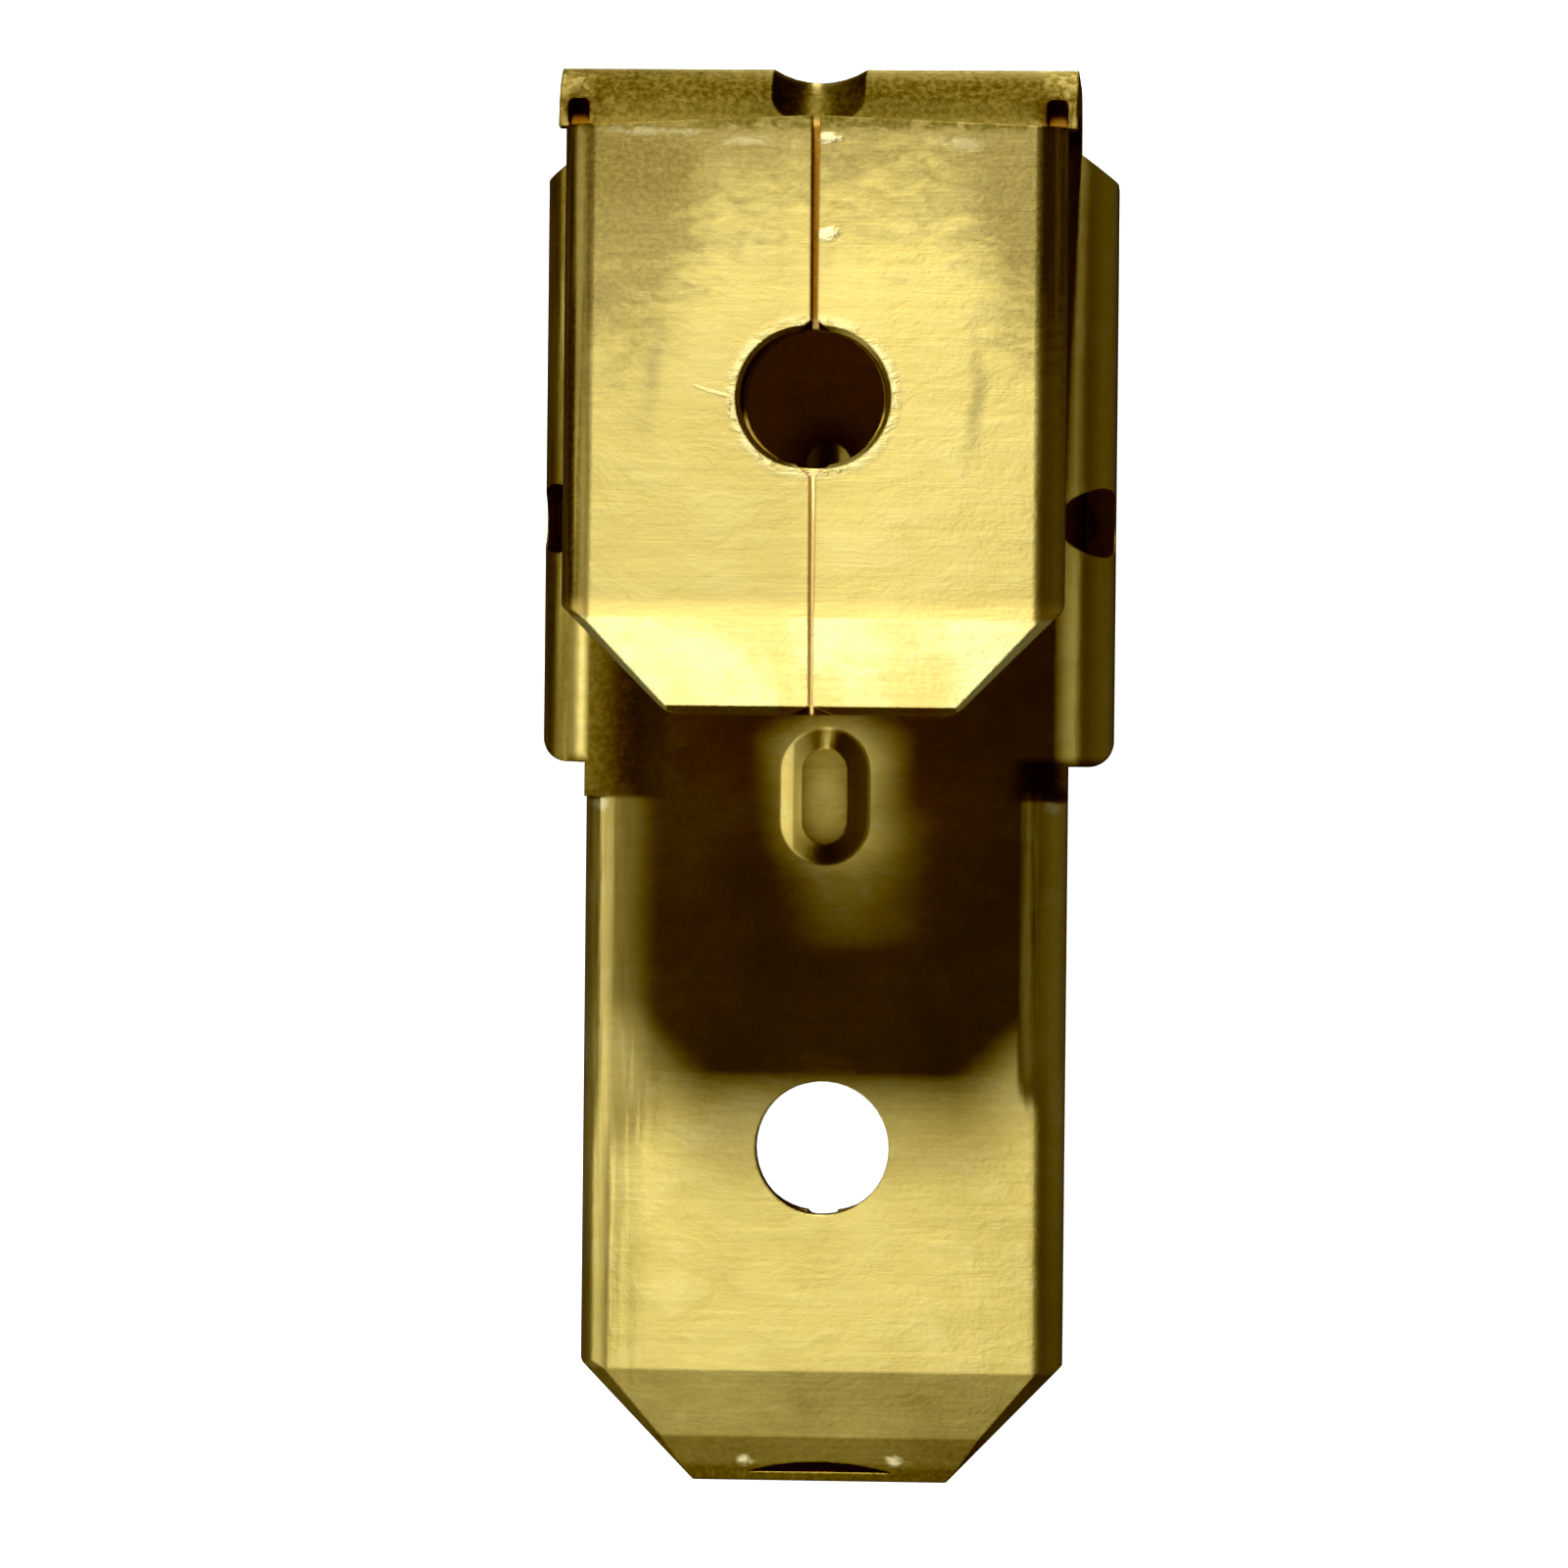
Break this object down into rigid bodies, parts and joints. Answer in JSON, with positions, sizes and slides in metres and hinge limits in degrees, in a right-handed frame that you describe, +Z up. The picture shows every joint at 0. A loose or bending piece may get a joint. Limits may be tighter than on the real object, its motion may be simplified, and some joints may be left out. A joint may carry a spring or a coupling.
{
  "type": "piggyback spade terminal",
  "caption": "Folded brass quick-connect adapter: a rolled receptacle with one male tab folded back above it and one running on behind it.",
  "frame": {"origin": "under the middle of the overall length, on the plane that the rolls of the receptacle rest on", "axes": "+X across the tabs, +Y toward the mouth of the receptacle, +Z up from the rolls toward the upper tab"},
  "size_m": [0.0074, 0.0182, 0.0065],
  "materials": {
    "terminal": "satin"
  },
  "bodies": {
    "root": {"terminal": "terminal"}
  },
  "joints": []
}
